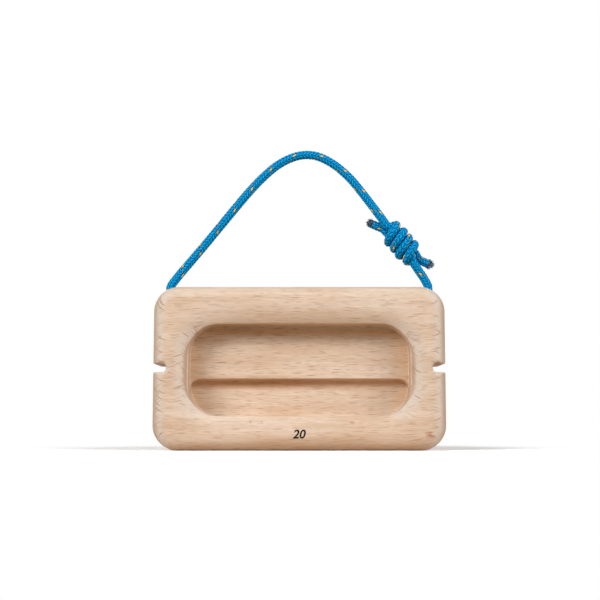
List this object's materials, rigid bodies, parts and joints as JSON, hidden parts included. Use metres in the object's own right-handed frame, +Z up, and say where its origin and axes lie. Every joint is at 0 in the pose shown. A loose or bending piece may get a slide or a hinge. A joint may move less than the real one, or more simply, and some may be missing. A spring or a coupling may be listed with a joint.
{
  "type": "portable hangboard",
  "caption": "One-hand portable hangboard: rounded wooden block with a stepped finger pocket and side slots, hung from a knotted braided cord loop.",
  "frame": {"origin": "middle of the block's flat bottom face, which it stands on", "axes": "+Z up, +X along the block's width to the right of someone facing the finger pocket, -Y out of the pocket towards them"},
  "size_m": [0.15, 0.04, 0.1614],
  "materials": {
    "beech": "fine sanded, unvarnished",
    "cord": "braided nylon sheath, blue with yellow tracer flecks",
    "melted_cord": "melted and darkened nylon"
  },
  "bodies": {
    "block": {"board": "beech", "cord_run": "cord"},
    "cord_loop": {"cord_arch": "cord", "cord_leg": "cord", "knot_upper_half": "cord", "knot_lower_half": "cord", "sealed_tip_upper": "melted_cord", "sealed_tip_lower": "melted_cord"}
  },
  "joints": [
    {"name": "loop_swing", "type": "hinge", "parent": "block", "child": "cord_loop", "pos_m": [0, 0.01, 0.08645], "axis": [1, 0, 0], "range_deg": [-90, 65]}
  ]
}
